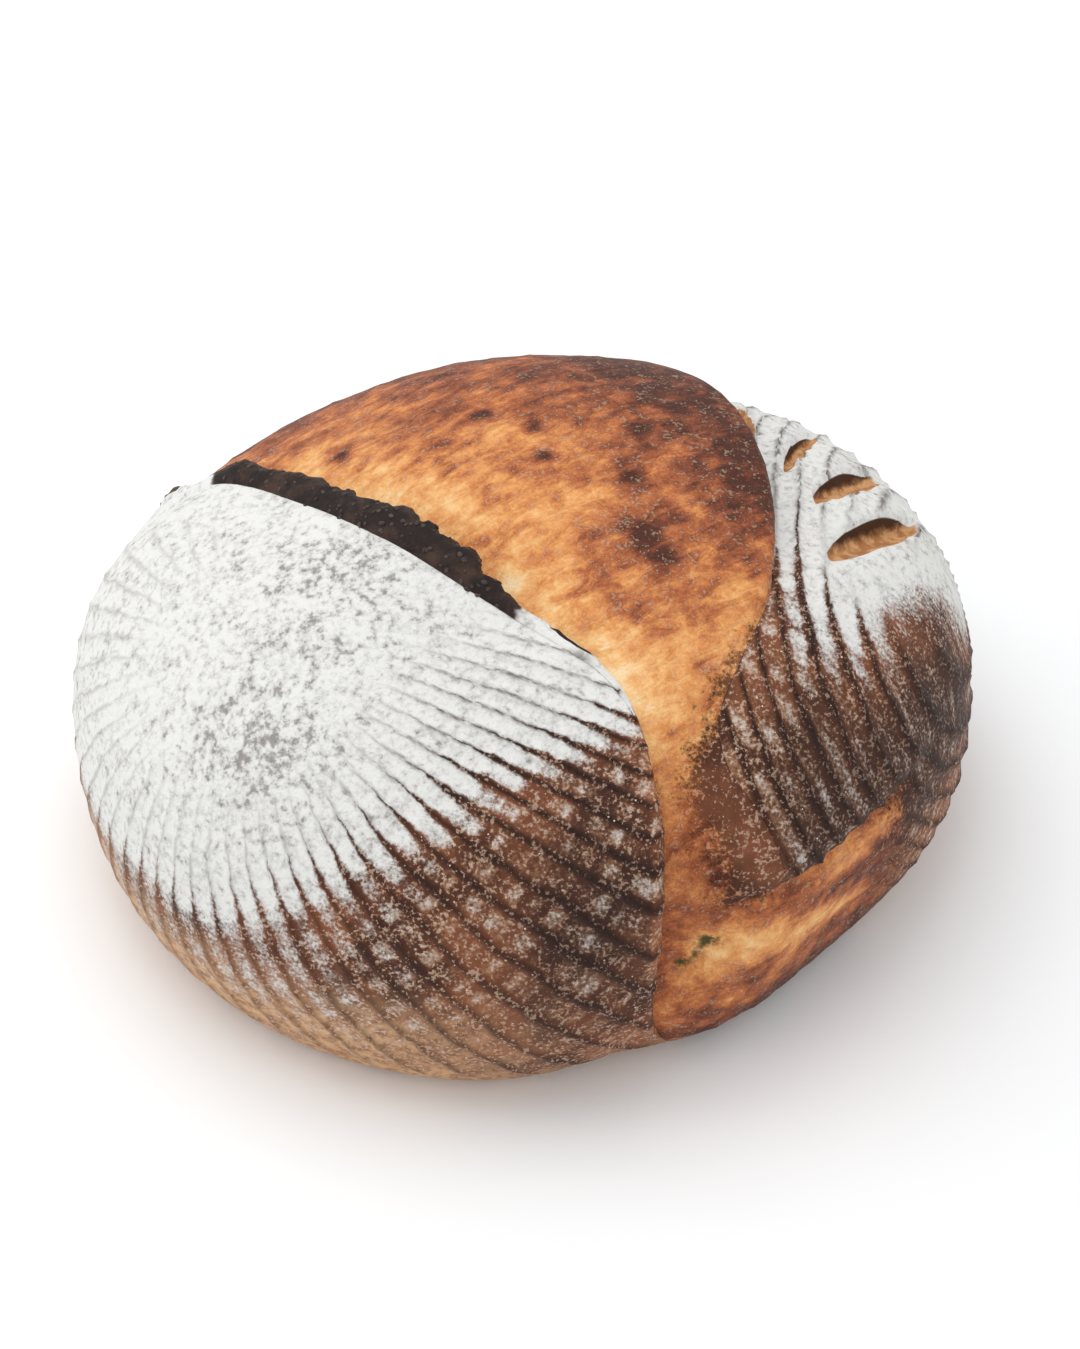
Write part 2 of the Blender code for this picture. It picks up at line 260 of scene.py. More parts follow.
def skin(way):
    """Crust before the slash opened it."""
    boule = boule_reach(way)
    flank = flank_reach(way)
    near = np.clip(0.5 + 0.5 * (flank - boule) / CREASE_BLEND, 0.0, 1.0)
    reach = boule + (flank - boule) * near + CREASE_BLEND * near * (1.0 - near)
    reach = reach + burst_relief(way, reach) - CRUST_INSET
    return HEART + way * reach[..., None]


def press_on_foot(points):
    """Flatten the underside onto z = 0 with a rounded rim and centre the loaf on the origin."""
    height = points[..., 2]
    blend = np.clip(1.0 - np.abs(height) / FOOT_ROUND, 0.0, 1.0)
    pressed = points + CENTRING
    pressed[..., 2] = np.maximum(height, 0.0) + blend * blend * FOOT_ROUND / 4.0
    return pressed


def skin_normal(way):
    aside = unit(np.cross(way, np.array([0.31, 0.17, 0.94])))
    upward = np.cross(way, aside)
    run_one = skin(unit(way + TURN_STEP * aside)) - skin(unit(way - TURN_STEP * aside))
    run_two = skin(unit(way + TURN_STEP * upward)) - skin(unit(way - TURN_STEP * upward))
    normal = unit(np.cross(run_one, run_two))
    return normal * np.sign((normal * way).sum(-1, keepdims=True))


def course(knots, at):
    """Smooth curve through (position, value) knots."""
    where, value = np.array(knots, dtype=float).T
    slope = np.gradient(value, where)
    left = np.clip(np.searchsorted(where, at, side="right") - 1, 0, len(where) - 2)
    span = where[left + 1] - where[left]
    step = (at - where[left]) / span
    rise = value[left + 1] - value[left]
    bend = (1.0 - step) * (slope[left] * span - rise) - step * (slope[left + 1] * span - rise)
    return value[left] + step * rise + step * (1.0 - step) * bend


def ear_share(row):
    rise = 0.25 * smooth(row, 58.0, 80.0) + 0.75 * smooth(row, 78.0, 112.0)
    slim = 1.0 - 0.25 * np.exp(-((row - 134.0) / 16.0) ** 2)
    return rise * slim * (1.0 - 0.5 * smooth(row, 147.0, 159.0)) * (1.0 - smooth(row, 160.0, 178.0))


def step_share(row):
    return (1.0 - smooth(row, 44.0, 66.0)) * smooth(row, 5.0, 30.0)


def bloom_share(row):
    return smooth(row, 58.0, 90.0) * (1.0 - smooth(row, 135.0, 178.0))


def far_share(row):
    return smooth(row, 62.0, 84.0) * (1.0 - smooth(row, 150.0, 178.0))


def gap(way, edge_way):
    cosine = np.clip((way * edge_way).sum(-1), -1.0, 1.0)
    return np.arccos(cosine) * 0.5 * (boule_reach(way) + boule_reach(edge_way))


def fold_offset(fold, share):
    knots = np.linspace(0.0, 1.0, len(fold))
    steps = np.array(fold) * 0.001
    across = course(np.stack([knots, steps[:, 0]], axis=1), share)
    up = course(np.stack([knots, steps[:, 1]], axis=1), share)
    return across, up


def wander(seed, gap_between, at):
    """Smooth seeded wobble between -1 and 1 along a run of degrees."""
    picker = np.random.default_rng(seed)
    knots = np.arange(-gap_between, 180.0 + 2.0 * gap_between, gap_between)
    return course(np.stack([knots, picker.uniform(-1.0, 1.0, len(knots))], axis=1), at)


def opening(row, from_near):
    """How far the crust sinks beside the near lip, under the ear and in the valley."""
    under = UNDER_EAR * ear_share(row) * np.exp(-(from_near / UNDER_EAR_RUN) ** 1.5)
    valley = VALLEY * step_share(row) * np.exp(-(from_near / VALLEY_RUN) ** 2.5)
    return under + valley


def spaced(sector, count):
    """Shares of the way across a sector: finest beside the slash, coarse underneath."""
    even = np.arange(count) / count
    if sector == FLANK:
        return even ** 0.62
    if sector == SHOULDER:
        return 0.55 * even + 0.45 * even ** 2
    return even


def place(sector, share, row):
    """Points of the crust across one sector, with the measures its finish is made from."""
    near = course(NEAR_LIP, row)
    far = course(FAR_LIP, row)
    edge = far_share(row)
    spare = far + SPARE_ANGLE * (1.0 - edge)
    underside = np.full(row.shape, UNDERSIDE)
    bounds = (underside, near, near, far, spare, underside + 360.0)
    start, end = bounds[sector], bounds[sector + 1]
    angle = start + (end - start) * share
    way = direction(angle, row)
    normal = skin_normal(way)
    across = direction(angle + 0.5, row) - direction(angle - 0.5, row)
    across = unit(across - (across * normal).sum(-1, keepdims=True) * normal)
    from_near = gap(way, direction(near, row))
    from_far = gap(way, direction(far, row))
    high = ear_share(row)
    step = step_share(row)
    side = np.zeros(row.shape)
    if sector == FLANK:
        up = high * EAR_LIFT * np.exp(-(from_near / EAR_RUN) ** 1.5)
        up = up + step * STEP_LIFT * np.exp(-(from_near / STEP_RUN) ** 1.5)
    elif sector == EAR:
        ragged = 1.0 + 0.15 * wander(11, 3.1, row) + 0.12 * wander(12, 1.4, row)
        ear_side, ear_up = fold_offset(EAR_FOLD, share)
        step_side, step_up = fold_offset(STEP_FOLD, share)
        hump = np.sin(np.pi * share) ** 2
        side = ear_side * high * (1.0 + (ragged - 1.0) * hump) + step_side * step
        up = ear_up * high + step_up * step
    elif sector == BLOOM:
        side = (BLOOM_SHIFT * high + VALLEY_SHIFT * step) * np.exp(-from_near / SHIFT_RUN)
        side = side * (1.0 - share)
        well = bloom_share(row) * smooth(from_near, 0.0, BLOOM_RUN)
        well = well + (edge - well) * smooth(share, 0.0, 1.0)
        up = BLOOM_RISE * well - opening(row, from_near) * (1.0 - edge * smooth(share, 0.0, 1.0))
    elif sector == FAR_EDGE:
        side, up = fold_offset(FAR_FOLD, share)
        side = side * edge
        up = up * edge - opening(row, from_near) * (1.0 - edge)
    else:
        side = SHOULDER_SHIFT * edge * np.exp(-from_far / SHIFT_RUN)
        up = -SHOULDER_DIP * edge * np.exp(-(from_far / SHOULDER_RUN) ** 1.3)
        up = up - opening(row, from_near) * (1.0 - edge)
    raw = skin(way) + normal * up[..., None] + across * side[..., None]
    measures = {
        "way": way, "row": row, "angle": angle, "share": share,
        "from_near": from_near, "from_far": from_far, "sector": np.full(row.shape, sector),
    }
    return press_on_foot(raw), measures


def crust_grid():
    """Every ring of the crust from the slash's front end to its back end."""
    rows = np.arange(1, ROWS)[:, None] * (180.0 / ROWS)
    points = []
    measures = []
    for sector, count in enumerate(COLUMNS):
        shape = (ROWS - 1, count)
        share = np.broadcast_to(spaced(sector, count), shape)
        spot, measure = place(sector, share, np.broadcast_to(rows, shape).astype(float))
        points.append(spot)
        measures.append(measure)
    joined = {name: np.concatenate([m[name] for m in measures], axis=1) for name in measures[0]}
    return np.concatenate(points, axis=1), joined


# ---------------------------------------------------------------- what the crust carries


def crown_compass(way):
    """Angle away from the near lobe's crown, and the turn round it (0 is uphill)."""
    away = np.degrees(np.arccos(np.clip(way @ CROWN, -1.0, 1.0)))
    turn = np.degrees(np.arctan2(way @ CROWN_SIDE, way @ CROWN_UP))
    return away, turn


# How far the flour reaches from the near lobe's crown: turn, angle, in degrees.
FLOUR_REACH = ((-180.0, 36.0), (-155.0, 36.0), (-131.0, 33.0), (-103.0, 33.0), (-80.0, 38.0),
               (-66.0, 50.0), (-58.0, 58.0), (-45.0, 72.0), (0.0, 90.0), (90.0, 66.0),
               (126.0, 52.0), (158.0, 40.0), (180.0, 36.0))

# Scorched blisters on the bloom: x, y, radius, strength, in metres.
SCORCHES = ((-0.052, 0.036, 0.0040, 0.8), (-0.011, 0.043, 0.0030, 0.8), (0.003, 0.035, 0.0035, 0.9),
            (0.006, 0.021, 0.0030, 0.7), (0.031, 0.035, 0.0035, 0.6), (0.034, -0.010, 0.0050, 0.9),
            (0.038, -0.016, 0.0040, 0.9), (0.029, 0.014, 0.0050, 0.6), (-0.024, 0.030, 0.0030, 0.5))

# Middle of the pale lens in the burst: azimuth, height.
LENS = ((-78.0, 0.014), (-74.0, 0.022), (-69.0, 0.035), (-64.0, 0.048), (-56.0, 0.048), (-46.0, 0.043),
        (-38.0, 0.037), (-30.0, 0.030))

# Open pores in the lens: azimuth, height, radius.
PORES = ((-62.5, 0.049, 0.0030), (-66.5, 0.041, 0.0024), (-64.5, 0.044, 0.0014))
PORE_DEPTH = 0.0016
LENS_METRES_PER_DEGREE = 0.0014

# Patches of the near lobe where the flour is thin: place, radius, strength.
WORN_PATCHES = ((-0.069, -0.064, 0.102, 0.024, 1.0), (-0.050, -0.028, 0.120, 0.026, 0.8))


def bell(offset, width):
    return np.exp(-(offset / width) ** 2)


def flour_cover(points, measures):
    """How thickly flour lies: on the near lobe's crown and over the far half of the loaf."""
    away, turn = crown_compass(measures["way"])
    x, y, z = np.moveaxis(points, -1, 0)
    lobe = 1.0 - smooth(away - np.interp(turn, *np.array(FLOUR_REACH).T), -12.0, 14.0)
    start = -0.020 + 1.3 * np.maximum(0.0, x - 0.090)
    shoulder = smooth(y - start, -0.040, 0.026) * smooth(z, 0.016, 0.050)
    left = smooth(-x, 0.000, 0.070)
    dust = (0.12 + 0.26 * left) * smooth(z, -0.004, 0.040)
    beside = (measures["sector"] == SHOULDER) * (1.0 - smooth(measures["row"], 66.0, 84.0))
    shoulder = shoulder * (1.0 - 0.6 * beside * (1.0 - smooth(measures["from_far"], 0.010, 0.030)))
    return np.maximum(np.maximum(lobe, shoulder), dust)


def rib_marks(points, measures):
    """Running count of the basket's ribs, the way along them and how deep they are pressed in."""
    way = measures["way"]
    sector = measures["sector"]
    away, turn = crown_compass(way)
    x, y, z = np.moveaxis(points, -1, 0)
    drift = 0.55 * smooth(turn, -90.0, -35.0) * (1.0 - smooth(turn, -20.0, 20.0))
    fanned = (turn - RIB_SEAM + drift * (away - 25.0)) % 360.0
    bare_seam = np.minimum(fanned, 360.0 - fanned)
    lobe_depth = smooth(away, 14.0, 31.0) * smooth(bare_seam, 20.0, 45.0) * smooth(z, 0.004, 0.018)
    lobe_depth = lobe_depth * (0.40 + 0.60 * bell((turn + 75.0 + 180.0) % 360.0 - 180.0, 55.0))
    beside_ear = 1.0 - smooth(measures["from_near"], 0.008, 0.026)
    beside_ear = smooth(measures["row"], 78.0, 96.0) * beside_ear
    beside_step = (sector == EAR) * smooth(measures["share"], 0.10, 0.45)
    lobe_depth = lobe_depth * (1.0 - np.maximum(beside_ear, beside_step))
    lobe_depth = lobe_depth * np.where(sector == FLANK, smooth(measures["share"], 0.02, 0.20), 1.0)
    shoulder_depth = smooth(x, 0.040, 0.056) * smooth(z, 0.008, 0.030)
    shoulder_depth = shoulder_depth * smooth(measures["from_far"], 0.002, 0.010)
    shoulder_depth = shoulder_depth * (1.0 - smooth(way @ unit(SHOULDER_RIB_WAY), 0.965, 0.995))
    shoulder_depth = shoulder_depth * (1.0 - under_lip(way, above_burst(way, reach_of(points))))
    shoulder = sector == SHOULDER
    shoulder_count = (points @ SHOULDER_RIB_WAY) / SHOULDER_RIB_GAP
    count = np.where(shoulder, shoulder_count, fanned / 360.0 * RIBS_ROUND)
    along = np.where(shoulder, 0.9 * y - 0.4 * z, np.radians(away) * LOBE_RADIUS)
    depth = np.where(shoulder, shoulder_depth, np.where(sector <= EAR, lobe_depth, 0.0))
    return count, along, depth


def reach_of(points):
    return np.linalg.norm(points - CENTRING - HEART, axis=-1)


def under_lip(way, above):
    """1 on the torn crust below the burst's lip, and on toward the valley."""
    azimuth = azimuth_of(way)
    span = smooth(azimuth, -96.0, -80.0) * (1.0 - smooth(azimuth, -44.0, -12.0))
    sharp = 1.0 - smooth(above, -0.0026, 0.0002)
    soft = 1.0 - smooth(above, -0.0130, 0.0040)
    return span * (sharp + (soft - sharp) * smooth(-azimuth, 46.0, 55.0))


def torn_below(points, measures):
    """1 on the burst's torn crust, right of the slash."""
    way = measures["way"]
    return under_lip(way, above_burst(way, reach_of(points))) * (measures["sector"] >= BLOOM)


def bare_crust(points, measures):
    """Where the dough tore open and baked without flour."""
    names = ("sector", "row", "share", "from_near")
    sector, row, share, from_near = (measures[name] for name in names)
    front = 1.0 - smooth(row, 50.0, 64.0)
    turned = measures["angle"] - 13.0 * smooth(row, 52.0, 62.0)
    side_of_valley = smooth(turned, 101.0, 138.0) * (1.0 - smooth(row, 60.0, 72.0))
    back_fold = smooth(share, 0.55, 0.75)
    fold = (sector == EAR) * (back_fold + (0.22 + 0.50 * share - back_fold) * front)
    lip = (sector == FAR_EDGE) * (1.0 - smooth(share, 0.45, 0.75) * far_share(row))
    spill = (sector == FLANK) * (1.0 - smooth(from_near, 0.0, 0.009)) * front * 0.22
    near_side = (sector == BLOOM) * (1.0 - smooth(from_near, 0.0, 0.007)) * front * 0.28
    opened = (sector == BLOOM) + (sector == FAR_EDGE) * np.maximum(lip, front)
    opened = opened + (sector == SHOULDER) * front
    bare = np.clip(opened * (1.0 - side_of_valley) - near_side + fold + spill, 0.0, 1.0)
    return np.maximum(bare, torn_below(points, measures))


def torn_bake(points, way):
    """How dark the burst baked: pale in its lens and in the pocket under its lip."""
    azimuth = azimuth_of(way)
    above = above_burst(way, reach_of(points))
    z = points[..., 2]
    middle = np.interp(azimuth, *np.array(LENS).T)
    half = 0.0045 + 0.0050 * bell(azimuth + 60.0, 12.0)
    ends = smooth(azimuth, -76.0, -62.0) * (1.0 - smooth(azimuth, -40.0, -30.0))
    pocket = bell(above + 0.0095, 0.0055) * smooth(azimuth, -53.0, -42.0)
    pocket = pocket * (1.0 - smooth(azimuth, -36.0, -20.0))
    torn = 0.74 - 0.38 * bell(z - middle, half * 1.15) * ends - 0.30 * pocket
    torn = torn + 0.30 * (1.0 - smooth(z, 0.006, 0.026))
    return torn + 0.26 * smooth(azimuth, -46.0, -30.0) * (1.0 - pocket)


def bake_marks(points, measures):
    """How dark the bare crust baked: cream under the ear, darkest on the rim and the top."""
    row = measures["row"]
    x, y = points[..., 0], points[..., 1]
    back = smooth(row, 54.0, 66.0)
    cream = bell(measures["from_near"], 0.017) * back
    neck = bell(row - 64.0, 11.0)
    rim = np.exp(-(measures["from_far"] / 0.018) ** 1.6) * smooth(row, 68.0, 84.0)
    top = smooth(y, 0.000, 0.075) * (1.0 - 0.55 * smooth(y, 0.055, 0.100))
    bake = 0.43 - 0.24 * cream - 0.12 * neck + 0.32 * rim + 0.36 * top
    bake = bake + (0.20 * smooth(x, -0.010, 0.045) - 0.08 * smooth(-x, 0.030, 0.060)) * back
    bake = bake + (0.62 - bake) * (1.0 - smooth(row, 50.0, 63.0))
    bake = bake + (torn_bake(points, measures["way"]) - bake) * torn_below(points, measures)
    return np.clip(bake, 0.0, 1.0)


def char_marks(points, measures):
    """Charring along the ear's top, on the burst's lip and at the slash's far end."""
    x = points[..., 0]
    way = measures["way"]
    sector = measures["sector"]
    share = measures["share"]
    main = smooth(x, -0.0940, -0.0780) * (1.0 - 0.85 * smooth(x, -0.012, 0.004))
    scrap = 0.9 * bell(x - 0.013, 0.006)
    end = 0.8 * smooth(x, -0.109, -0.106) * (1.0 - smooth(x, -0.100, -0.097))
    end = end * smooth(share, 0.10, 0.30)
    band = (sector == EAR) * smooth(share, -0.02, 0.04) * (1.0 - smooth(share, 0.60, 0.74))
    tail = (sector == EAR) * smooth(share, 0.28, 0.40) * (1.0 - smooth(share, 0.60, 0.74))
    ear = np.maximum(np.maximum(band * main, tail * scrap), band * end)
    ear = ear * smooth(measures["row"], 62.0, 72.0)
    above = above_burst(way, reach_of(points))
    lip = burst_share(way) * bell(above + 0.0005, 0.0022) * (sector == SHOULDER)
    lip = lip * smooth(azimuth_of(way), -54.0, -46.0)
    return np.clip(ear + 0.70 * lip, 0.0, 1.0)


def scorch_marks(points, sector):
    spots = np.zeros(points.shape[:-1])
    for x, y, radius, strength in SCORCHES:
        off = np.hypot(points[..., 0] - x, points[..., 1] - y)
        spots = np.maximum(spots, strength * bell(off, radius))
    return spots * (sector == BLOOM) * (points[..., 2] > 0.06)


def pore_marks(points):
    holes = np.zeros(points.shape[:-1])
    azimuth = azimuth_of(points - CENTRING)
    for at, height, radius in PORES:
        off = np.hypot((azimuth - at) * LENS_METRES_PER_DEGREE, points[..., 2] - height)
        holes = np.maximum(holes, bell(off, radius))
    return holes


def leaf_fields(points, sector):
    """Inside-ness of the leaf cuts (0 on the rim), the side of each, and the depth scooped out."""
    inside = np.full(points.shape[:-1], -1.0)
    side = np.zeros(points.shape[:-1])
    scoop = np.zeros(points.shape[:-1])
    for near_azimuth, near_elevation, far_azimuth, far_elevation, width, depth in LEAF_CUTS:
        near = skin(compass(near_azimuth, near_elevation)[None])[0]
        far = skin(compass(far_azimuth, far_elevation)[None])[0]
        way = unit((near + far) / 2.0 - HEART)
        offset = points - skin(way[None])[0] - CENTRING
        length = np.linalg.norm(far - near)
        along = unit(far - near)
        across = unit(np.cross(skin_normal(way[None])[0], along))
        run = (offset @ along) / (length * LEAF_HALF_LENGTH)
        wide = (offset @ across) / (width * LEAF_HALF_WIDTH)
        wide = wide - LEAF_BOW * (1.0 - run ** 2)
        depth_in = np.maximum(1.0 - run ** 2, -1.0) - np.abs(wide) ** LEAF_ROUNDNESS
        depth_in = np.where(np.linalg.norm(offset, axis=-1) < length, np.maximum(depth_in, -1.0), -1.0)
        side = np.where(depth_in > inside, wide, side)
        inside = np.maximum(inside, depth_in)
        scoop = np.maximum(scoop, depth * np.sqrt(np.clip(depth_in, 0.0, 1.0)))
    shoulder = sector == SHOULDER
    return np.where(shoulder, inside, -1.0), side, scoop * shoulder


def skin_marks(points, sector):
    """Where the skin under the flour is tan, where it is dark brown with painted shade on the lobes'
    turned-away sides, and where the flour is worn.
    """
    x, y, z = np.moveaxis(points, -1, 0)
    left = smooth(-x, -0.020, 0.050)
    tan = left * (1.0 - smooth(z, 0.026, 0.056)) + 0.6 * (1.0 - smooth(z, 0.004, 0.020))
    start = -0.026 + 1.3 * np.maximum(0.0, x - 0.088)
    # Dark brown with painted shade on the near lobe's side toward the valley.
    brown_and_shade = bell(x - 0.018, 0.024) * bell(z - 0.070, 0.034) * (sector == FLANK) * (y < 0.0)
    beside_front = 1.0 - smooth(y - start, -0.034, -0.006)
    # Painted shade, over dark brown, on the right lobe's front below the floured shoulder.
    shaded = (0.45 * (sector >= BLOOM) + 0.55 * (sector == SHOULDER)) * beside_front
    shaded = shaded * smooth(z, 0.030, 0.060) * (0.10 + 0.90 * smooth(x, 0.055, 0.080))
    worn = np.zeros(z.shape)
    for *place, radius, strength in WORN_PATCHES:
        worn = np.maximum(worn, strength * bell(np.linalg.norm(points - place, axis=-1), radius))
    return np.clip(tan, 0.0, 1.0), np.maximum(brown_and_shade, shaded), worn * (sector == FLANK)


def store_mark(mesh, name, value):
    layer = mesh.attributes.new(name, "FLOAT", "POINT")
    layer.data.foreach_set("value", value.astype(np.float32))


def lay_marks(mesh, points, measures):
    """Store the finish's measures on the mesh's points, poles last."""
    sector = measures["sector"]
    count, along, depth = rib_marks(points, measures)
    inside, side, _ = leaf_fields(points, sector)
    tan, brown_and_shade, worn = skin_marks(points, sector)
    marks = {
        "rib_count": count, "rib_along": along, "rib_depth": depth,
        "flour": flour_cover(points, measures), "bare": bare_crust(points, measures),
        "bake": bake_marks(points, measures),
        "char": char_marks(points, measures), "tan": tan, "brown_and_shade": brown_and_shade, "worn": worn,
        "scorch": scorch_marks(points, sector), "pore": pore_marks(points),
        "cut": inside, "cut_side": side, "across": measures["from_near"],
        "slash_along": np.radians(measures["row"]) * SLASH_RADIUS,
    }
    for name, value in marks.items():
        store_mark(mesh, name, np.append(value.reshape(-1), [value[0].mean(), value[-1].mean()]))


def crust_mesh():
    """Closed mesh of the whole crust, carrying its marks."""
    points, measures = crust_grid()
    _, _, scoop = leaf_fields(points, measures["sector"])
    sunk = scoop + PORE_DEPTH * pore_marks(points)
    points = points - skin_normal(measures["way"]) * sunk[..., None]
    rings, columns = points.shape[:2]
    ends = [press_on_foot(skin(way[None]))[0] for way in (TO_FRONT, TO_BACK)]
    vertices = np.concatenate([points.reshape(-1, 3), np.array(ends)])
    here = np.arange(rings * columns).reshape(rings, columns)
    beside = np.roll(here, -1, axis=1)
    quads = np.stack([here[:-1], here[1:], beside[1:], beside[:-1]], axis=-1).reshape(-1, 4)
    front = rings * columns
    first = np.stack([np.full(columns, front), here[0], beside[0]], axis=-1)
    last = np.stack([np.full(columns, front + 1), beside[-1], here[-1]], axis=-1)
    faces = quads.tolist() + first.tolist() + last.tolist()
    mesh = bpy.data.meshes.new("crust")
    mesh.from_pydata(vertices.tolist(), [], faces)
    lay_marks(mesh, points, measures)
    mesh.shade_smooth()
    return mesh


# ---------------------------------------------------------------- recipes of nodes


class Recipe:
    """Adds nodes to one tree and joins them up."""

    def __init__(self, tree):
        self.tree = tree

    def node(self, kind, fed=None, **settings):
        made = self.tree.nodes.new(kind)
        for name, value in settings.items():
            setattr(made, name, value)
        for socket, value in (fed or {}).items():
            self.feed(made.inputs[socket], value)
        return made

    def feed(self, socket, value):
        if isinstance(value, bpy.types.NodeSocket):
            self.tree.links.new(value, socket)
        else:
            socket.default_value = value

    def math(self, operation, *values):
        return self.node("ShaderNodeMath", dict(enumerate(values)), operation=operation).outputs[0]

    def chain(self, operation, values):
        result = values[0]
        for value in values[1:]:
            result = self.math(operation, result, value)
        return result

    def plus(self, *values):
        return self.chain("ADD", values)

    def times(self, *values):
        return self.chain("MULTIPLY", values)

    def less(self, value, taken):
        return self.math("SUBTRACT", value, taken)

    def centred(self, value, amount):
        """A noise made to swing about nothing by half the amount."""
        return self.times(self.less(value, 0.5), amount)

    def between(self, value, low, high, to_low=0.0, to_high=1.0):
        fed = {0: value, 1: low, 2: high, 3: to_low, 4: to_high}
        return self.node("ShaderNodeMapRange", fed, interpolation_type="SMOOTHSTEP").outputs[0]

    def joined(self, *parts):
        return self.node("ShaderNodeCombineXYZ", dict(enumerate(parts))).outputs[0]

    def noise(self, place, scale, detail=2.0, rough=0.5, twist=0.0):
        fed = {"Vector": place, "Scale": scale, "Detail": detail, "Roughness": rough,
               "Distortion": twist}
        return self.node("ShaderNodeTexNoise", fed).outputs[0]

    def rib_pattern(self, place):
        """Profile of the ribs (1 on the back, 0 in the groove) and the beads along each one."""
        drift_scale, drift_share = RIB_DRIFT
        shake_scale, shake_share = RIB_SHAKE
        drift = self.centred(self.noise(place, drift_scale), drift_share)
        shake = self.centred(self.noise(place, shake_scale), shake_share)
        count = self.plus(self.mark("rib_count"), drift, shake)
        off = self.math("ABSOLUTE", self.less(self.times(self.math("FRACT", count), 2.0), 1.0))
        back = self.less(1.0, self.math("POWER", off, RIB_SQUARENESS))
        shuffled = self.times(self.math("FLOOR", count), BEAD_SHUFFLE)
        beads = self.joined(shuffled, self.times(self.mark("rib_along"), BEADS_PER_METRE))
        return back, self.noise(beads, 1.0, 1.0, 0.5)


class Finish(Recipe):
    """A surface recipe on the object's own coordinates."""

    def __init__(self, tree):
        super().__init__(tree)
        self.place = self.node("ShaderNodeTexCoord").outputs["Object"]

    def mark(self, name):
        return self.node("ShaderNodeAttribute", attribute_name=name).outputs["Fac"]

    def dot(self, value, way):
        made = self.node("ShaderNodeVectorMath", {0: value, 1: way}, operation="DOT_PRODUCT")
        return made.outputs["Value"]

    def blend(self, share, under, over):
        made = self.node("ShaderNodeMix", data_type="RGBA")
        for socket, value in ((0, share), (6, under), (7, over)):
            self.feed(made.inputs[socket], value)
        return made.outputs[2]

    def ramp(self, value, stops):
        made = self.node("ShaderNodeValToRGB", {0: value})
        band = made.color_ramp
        while len(band.elements) < len(stops):
            band.elements.new(0.5)
        for element, (at, colour) in zip(band.elements, stops):
            element.position = at
            element.color = colour
        return made.outputs[0]


def paint(red, green, blue):
    """Colour from 0 to 255 screen values."""
    def linear(value):
        share = value / 255.0
        return share / 12.92 if share <= 0.04045 else ((share + 0.055) / 1.055) ** 2.4
    return (linear(red), linear(green), linear(blue), 1.0)


SKIN = paint(134, 80, 53)
SKIN_DEEP = paint(76, 43, 30)
SKIN_BROWN_AND_SHADE = paint(48, 30, 26)
TAN = paint(212, 170, 130)
TAN_DEEP = paint(150, 106, 74)
RIB_BACK = paint(198, 150, 114)
RIB_GROOVE = paint(44, 27, 21)
DAPPLE = paint(170, 120, 88)
FRECKLE = paint(208, 184, 164)
BAKED = ((0.02, paint(247, 218, 172)), (0.24, paint(240, 186, 122)), (0.44, paint(220, 148, 86)),
         (0.64, paint(178, 103, 62)), (0.82, paint(128, 69, 47)), (1.0, paint(80, 44, 33)))
GLINT = paint(250, 222, 184)
# Painted shadow inside the burst's open pores.
PORE_SHADOW = paint(82, 74, 42)
FLOUR_THICK = paint(230, 230, 227)
FLOUR_THIN = paint(184, 183, 179)
FLOUR_SPECK = paint(120, 113, 107)
FLOUR_GROOVE = paint(112, 104, 97)
CHAR = paint(37, 28, 26)
CHAR_BROWN = paint(70, 51, 42)
CRUMB = paint(212, 162, 114)
CRUMB_DEEP = paint(172, 118, 74)
CRUMB_SHADE = paint(72, 44, 28)
LOOSE_FLOUR = (paint(232, 218, 200), paint(196, 170, 146))
LOOSE_CHAR = (paint(38, 30, 28), paint(78, 58, 47))
FLOOR_WHITE = (0.975, 0.99, 1.0, 1.0)

# How the bloom tore: way, streaks per metre along it.
TEAR_WAYS = (((0.81, 0.58, 0.0), 80.0), ((-0.58, 0.81, 0.0), 230.0), ((0.0, 0.0, 1.0), 180.0))


